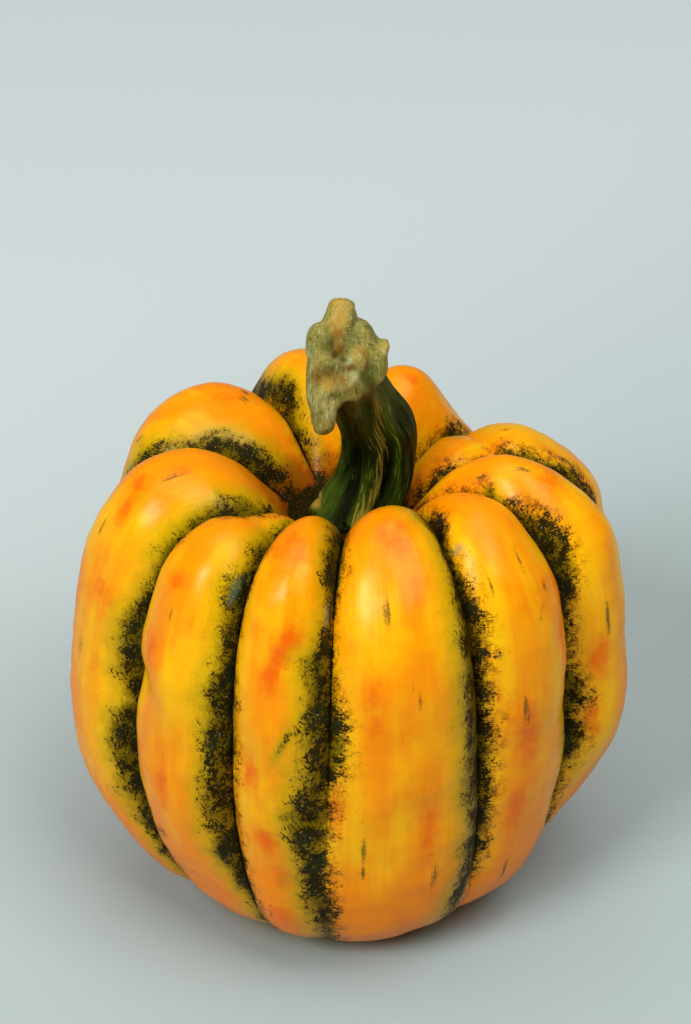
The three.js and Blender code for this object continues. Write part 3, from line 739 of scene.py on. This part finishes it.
def along_neck(points):
    """For each point: mm along the neck's centre line, and the azimuth around it with 0 in front."""
    path, _, _, _ = LIMBS[0]
    centre = spline(path, np.linspace(0, 1, 240), carry_on=True)
    length = np.concatenate([[0], np.cumsum(np.linalg.norm(np.diff(centre, axis=0), axis=1))])
    tangent = np.gradient(centre, axis=0)
    tangent /= np.linalg.norm(tangent, axis=1, keepdims=True)
    side = np.array((1, 0, 0)) - tangent * tangent[:, :1]
    side /= np.linalg.norm(side, axis=1, keepdims=True)
    front = np.cross(side, tangent)
    nearest = np.concatenate([((part[:, None] - centre[None]) ** 2).sum(axis=2).argmin(axis=1)
                              for part in np.array_split(points, 40)])
    off = points - centre[nearest]
    azimuth = np.arctan2((off * side[nearest]).sum(axis=1), (off * front[nearest]).sum(axis=1))
    return length[nearest], azimuth


def step(value, low, high):
    """0 at low and 1 at high, with a smooth step between them."""
    share = np.clip((value - low) / (high - low), 0, 1)
    return share * share * (3 - 2 * share)


def noises(places):
    return np.array([noise.noise(Vector(place)) for place in places])


def near(points, place, radius):
    """1 at a place, and 0 well away from it."""
    return np.exp(-((points - place) ** 2).sum(axis=1) / radius ** 2)


def make_stem():
    points, faces = [], []
    for limb in LIMBS + [foot_limb(azimuth, reach) for azimuth, reach in FEET]:
        rings = limb_rings(*limb)
        rings[..., 2] = np.maximum(rings[..., 2], SCAR_HEIGHT + GAP)
        closed_limb(rings, points, faces)
    stem = mesh_object("stalk", np.array(points) * MM, faces, bark_material())
    grow_together(stem, GROWN_VOXEL * MM, GROWN_EASE)
    mesh = stem.data
    count = len(mesh.vertices)
    flat, normals = np.empty(count * 3, np.float32), np.empty(count * 3, np.float32)
    mesh.vertices.foreach_get("co", flat)
    mesh.vertex_normals.foreach_get("vector", normals)
    points, normals = flat.reshape(-1, 3).astype(float) / MM, normals.reshape(-1, 3)

    # The neck is folded and fibrous; its end is gnarled.
    length, azimuth = along_neck(points)
    head = step(points[:, 2] - points[:, 1] - 0.8 * np.clip(points[:, 0], 0, 12), 160, 168)
    twist = azimuth + 0.25 * np.sin(length / 14)
    round_neck = np.stack([np.cos(twist), np.sin(twist)], axis=1)
    folds = sum(rise * np.exp(-((np.degrees(twist) - at + 180) % 360 - 180) ** 2 / wide ** 2)
                for at, wide, rise in FOLDS)
    coarse = noises(np.column_stack([round_neck * 5, length / 15]))
    fine = noises(np.column_stack([round_neck * 12, length / 8]))
    fibres = folds + 0.7 * coarse + 0.4 * fine
    knots = noises(points / 5.5)
    grain = noises(points / (1.1, 1.1, 4) + knots[:, None] * 0.8)
    warts = sum(rise * near(points, place, radius) for place, radius, rise in WARTS)
    gnarls = warts + 0.5 * knots + 0.28 * grain
    rise = (fibres * (1 - head) + gnarls * head) * step(points[:, 2], SCAR_HEIGHT + 0.6, SCAR_HEIGHT + 4)
    points = points + normals * rise[:, None]
    mesh.vertices.foreach_set("co", fit_inside(points * MM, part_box("stem")).astype(np.float32).ravel())
    turn = np.degrees(azimuth)
    fields = {
        "head": head, "fibre": fine + coarse * 0.6, "fold": folds, "knot": knots, "grain": grain,
        "wart": warts, "climb": length, "toe": near(points, TOE, TOE_RADIUS),
        "front": np.exp(-(turn + 5 - 0.03 * (length - 8) ** 2) ** 2 / 13 ** 2),
        # The painted shadow on the neck's upper front, under the gnarled end.
        "neck_shadow": np.exp(-(turn + 18) ** 2 / 24 ** 2) * step(length, 16, 34),
    }
    for name, places in END_TINTS.items():
        fields[name] = np.max([near(points, place, radius) for place, radius in places], axis=0)
    for name, field in fields.items():
        add_field(mesh, name, field)
    add_vectors(mesh, "wrap", "POINT", np.column_stack([round_neck * NECK_GIRTH, length]))
    mesh.update()
    return stem


# The stalk's colours.
NECK_BLACK, NECK_GREEN, NECK_TOP = (0.003, 0.005, 0.0008), (0.018, 0.038, 0.002), (0.08, 0.10, 0.012)
FOOT_GREEN, THREAD_GREEN = (0.040, 0.070, 0.003), (0.085, 0.14, 0.008)
NECK_SHADOW_BLACK, OCHRE, TOE_OCHRE = (0.006, 0.006, 0.001), (0.36, 0.27, 0.035), (0.36, 0.24, 0.03)
END_GREEN, END_TAN, NUB_TAN = (0.20, 0.21, 0.045), (0.43, 0.33, 0.075), (0.55, 0.34, 0.05)
END_BROWN, END_SHADE, FROST = (0.26, 0.085, 0.002), (0.05, 0.042, 0.003), (0.50, 0.52, 0.22)
PALE_HAIR, DARK_HAIR = (0.54, 0.57, 0.26), (0.06, 0.075, 0.008)


def bark_material():
    """Dark green, ribbed stalk with ochre ridges; grey-green and tan at the gnarled end."""
    graph = Graph("stalk_bark")
    place = graph.node("ShaderNodeTexCoord", {}, "Object")
    place = graph.node("ShaderNodeVectorMath", {0: place, "Scale": 1 / MM}, operation="SCALE")
    head, fibre, fold = graph.field("head"), graph.field("fibre"), graph.field("fold")
    knot, grain, wart = graph.field("knot"), graph.field("grain"), graph.field("wart")
    climb, wrap = graph.field("climb"), graph.field("wrap", "Vector")
    mottle = graph.noise(place, (3, 3, 5), 3, 0.6)
    speck = graph.noise(place, (0.5, 0.5, 1.1), 2, 0.6)
    strand = graph.noise(wrap, (0.55, 0.55, 9), 2, 0.65, sway=0.3)
    skein = graph.noise(wrap, (1.4, 1.4, 16), 2, 0.6, sway=0.2)
    hair = graph.noise(place, (0.38, 0.38, 2.6), 2, 0.6, sway=0.8)

    # The neck: near black in its folds, partly painted shade that follows the folds' depth, green on its
    # sides, with pale and ochre fibres on its ridges, and a painted shadow over its upper front under the
    # gnarled end.
    ridge = graph.add((fibre, 0.6), (fold, 0.6), (skein, 0.9), (mottle, 0.25))
    neck = graph.mix(graph.between(ridge, -0.6, 0.8), NECK_BLACK, NECK_GREEN)
    neck = graph.tint(neck, graph.between(climb, 28.0, 44.0), 0.7, NECK_TOP)
    foot = graph.between(graph.add(climb, (mottle, 5.0)), 15.0, 3.0)
    neck = graph.mix(graph.times(foot, graph.between(ridge, -0.7, 0.4)), neck, FOOT_GREEN)
    # Painted shadow: near black over the neck's upper front, under the gnarled end.
    neck_shadow = graph.field("neck_shadow")
    thread = graph.between(graph.add(strand, (ridge, 0.35), (neck_shadow, -0.4)), 0.12, 0.5)
    neck = graph.tint(neck, thread, 0.8, THREAD_GREEN)
    neck = graph.tint(neck, neck_shadow, 0.85, NECK_SHADOW_BLACK)
    ochre = graph.add((graph.field("front"), 1.0), (strand, 1.7), (ridge, 0.3))
    neck = graph.tint(neck, graph.between(ochre, 0.5, 1.4), 0.85, OCHRE)
    neck = graph.mix(graph.between(graph.field("toe"), 0.3, 0.8), neck, TOE_OCHRE)

    # The end: tan and grey-green, frosted on its drip, brown in its dimple, with painted shade in its folds
    # and under its lip.
    lumps = graph.add((knot, 0.7), (wart, 0.3), (mottle, 0.6))
    tan, frost = graph.field("tan"), graph.field("frost")
    brown, shade = graph.field("brown"), graph.field("shade")
    end = graph.mix(graph.between(lumps, -0.7, 0.7), END_GREEN, END_TAN)
    end = graph.mix(graph.between(graph.add(tan, (hair, 0.3)), 0.1, 1.0), end, NUB_TAN)
    end = graph.tint(end, graph.between(graph.add(frost, (hair, 0.7)), 0.1, 1.0), 0.9, FROST)
    end = graph.tint(end, graph.between(graph.add(brown, (hair, 0.5)), 0.1, 1.1), 0.85, END_BROWN)
    hairs = graph.add(hair, (grain, 0.5))
    end = graph.tint(end, graph.between(hairs, 0.1, 0.5), 0.6, PALE_HAIR)
    end = graph.tint(end, graph.between(graph.add(hairs, (tan, 0.3)), -0.1, -0.5), 0.75, DARK_HAIR)
    end = graph.tint(end, graph.between(graph.add(shade, (hair, 0.4)), 0.1, 0.8), 0.85, END_SHADE)
    gnarled = graph.between(graph.add(head, (mottle, 0.3), (strand, 0.5)), 0.1, 1.0)
    colour = graph.mix(gnarled, neck, end)
    height = graph.add((speck, 0.4), (mottle, 0.4), (strand, 0.7), (hair, 0.8))
    bump = graph.node("ShaderNodeBump", {"Height": height, "Distance": 0.3 * MM, "Strength": 1.0})
    worn = graph.between(tan, 0.2, 0.9)
    rough = graph.add(0.40, (head, 0.15), (mottle, 0.08), (worn, -0.2))
    gloss = graph.math("MULTIPLY_ADD", worn, 0.3, 0.14)
    return graph.finish(Base_Color=colour, Roughness=rough, Normal=bump, Specular_IOR_Level=gloss,
                        Specular_Tint=(0.8, 0.85, 0.5))


# The studio, in metres, with the lens in mm. Each lamp has its place, width and power.
CAMERA_ELEVATION = 33
CAMERA_DISTANCE = 0.70
CAMERA_LENS = 90
CAMERA_TARGET = (-0.001, 0, 0.115)
LAMPS = {
    "key": ((-2.1, -2.35, 2.65), 1.3, 108),
    "side": ((1.3, -1.25, 3.2), 2.2, 66),
    "sky": ((-0.2, 0.2, 3.2), 2.6, 40),
}
LAMP_TARGET = (0, 0, 0.08)
FLOOR_REACH = 4
# The paper at the back and, darker with painted shadow, at the front; the warm painted contact shadow; and
# the paper as bounced light sees it.
FLOOR_FRONT_SHADE, FLOOR_BACK = (0.387, 0.467, 0.462), (0.555, 0.622, 0.628)
WARM_CONTACT_SHADOW, FLOOR_BOUNCE = (0.21, 0.19, 0.09), (0.38, 0.37, 0.32)
WALL_COLOUR = (0.54, 0.61, 0.61)
WORLD_COLOUR, WORLD_STRENGTH = (0.66, 0.65, 0.58), 0.16


def floor_material():
    """Pale paper, lighter at the back and darker to the front and right as painted shadow, with a warm
    painted contact shadow and bounce under the fruit, that fades into the wall far away.
    """
    graph = Graph("floor_paper")
    place = graph.node("ShaderNodeTexCoord", {}, "Object")
    back = graph.node("ShaderNodeVectorMath", {0: place, 1: (-0.7, 1, 0)}, "Value", operation="DOT_PRODUCT")
    # Painted shadow: the paper darkens towards the front and right.
    colour = graph.mix(graph.between(back, -0.08, 0.45), FLOOR_FRONT_SHADE, FLOOR_BACK)
    distance = graph.node("ShaderNodeVectorMath", {0: place}, "Value", operation="LENGTH")
    # Painted contact shadow close round the fruit, warmed like light bounced off the skin.
    colour = graph.mix(graph.between(distance, 0.053, 0.042), colour, WARM_CONTACT_SHADOW)
    seen = graph.node("ShaderNodeLightPath", {}, "Is Camera Ray")
    away = graph.times(graph.between(distance, 0.9, 1.7), seen)
    colour = graph.mix(away, graph.mix(seen, FLOOR_BOUNCE, colour), (0, 0, 0))
    glow = graph.mix(away, (0, 0, 0), WALL_COLOUR)
    return graph.finish(Base_Color=colour, Roughness=0.9, Emission_Color=glow, Emission_Strength=1.0)


def aim(thing, place, target):
    """Puts a lamp or camera at a place, looking at a target."""
    turn = (Vector(target) - Vector(place)).to_track_quat("-Z", "Y")
    thing.matrix_world = Matrix.Translation(place) @ turn.to_matrix().to_4x4()


def make_camera():
    data = bpy.data.cameras.new("camera")
    data.lens = CAMERA_LENS
    camera = bpy.data.objects.new("camera", data)
    bpy.context.scene.collection.objects.link(camera)
    angle = math.radians(CAMERA_ELEVATION)
    back = Vector((0, -math.cos(angle), math.sin(angle))) * CAMERA_DISTANCE
    aim(camera, Vector(CAMERA_TARGET) + back, CAMERA_TARGET)
    bpy.context.scene.camera = camera


def make_lamp(name, place, size, power):
    data = bpy.data.lights.new(name, "AREA")
    data.shape = "SQUARE"
    data.size = size
    data.energy = power
    lamp = bpy.data.objects.new(name, data)
    bpy.context.scene.collection.objects.link(lamp)
    aim(lamp, place, LAMP_TARGET)


def make_world():
    """Dim light from all round, seen by the camera as a pale wall."""
    world = bpy.data.worlds.new("studio")
    world.use_nodes = True
    tree = world.node_tree
    dim = tree.nodes["Background"]
    dim.inputs["Color"].default_value = (*WORLD_COLOUR, 1)
    dim.inputs["Strength"].default_value = WORLD_STRENGTH
    wall = tree.nodes.new("ShaderNodeBackground")
    wall.inputs["Color"].default_value = (*WALL_COLOUR, 1)
    choice = tree.nodes.new("ShaderNodeMixShader")
    tree.links.new(tree.nodes.new("ShaderNodeLightPath").outputs["Is Camera Ray"], choice.inputs[0])
    tree.links.new(dim.outputs[0], choice.inputs[1])
    tree.links.new(wall.outputs[0], choice.inputs[2])
    tree.links.new(choice.outputs[0], tree.nodes["World Output"].inputs["Surface"])
    bpy.context.scene.world = world


def make_studio():
    corners = np.array([(-1, -1, 0), (1, -1, 0), (1, 1, 0), (-1, 1, 0)]) * FLOOR_REACH
    floor = mesh_object("floor", corners, [(0, 1, 2, 3)], floor_material())
    make_world()
    for name, (place, size, power) in LAMPS.items():
        make_lamp(name, place, size, power)


fruit = make_fruit()
stem = make_stem()
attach(fruit, "root")
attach(stem, "root")
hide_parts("fruit")
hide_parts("stem")
make_camera()
make_studio()
bpy.context.scene.view_settings.view_transform = "Standard"
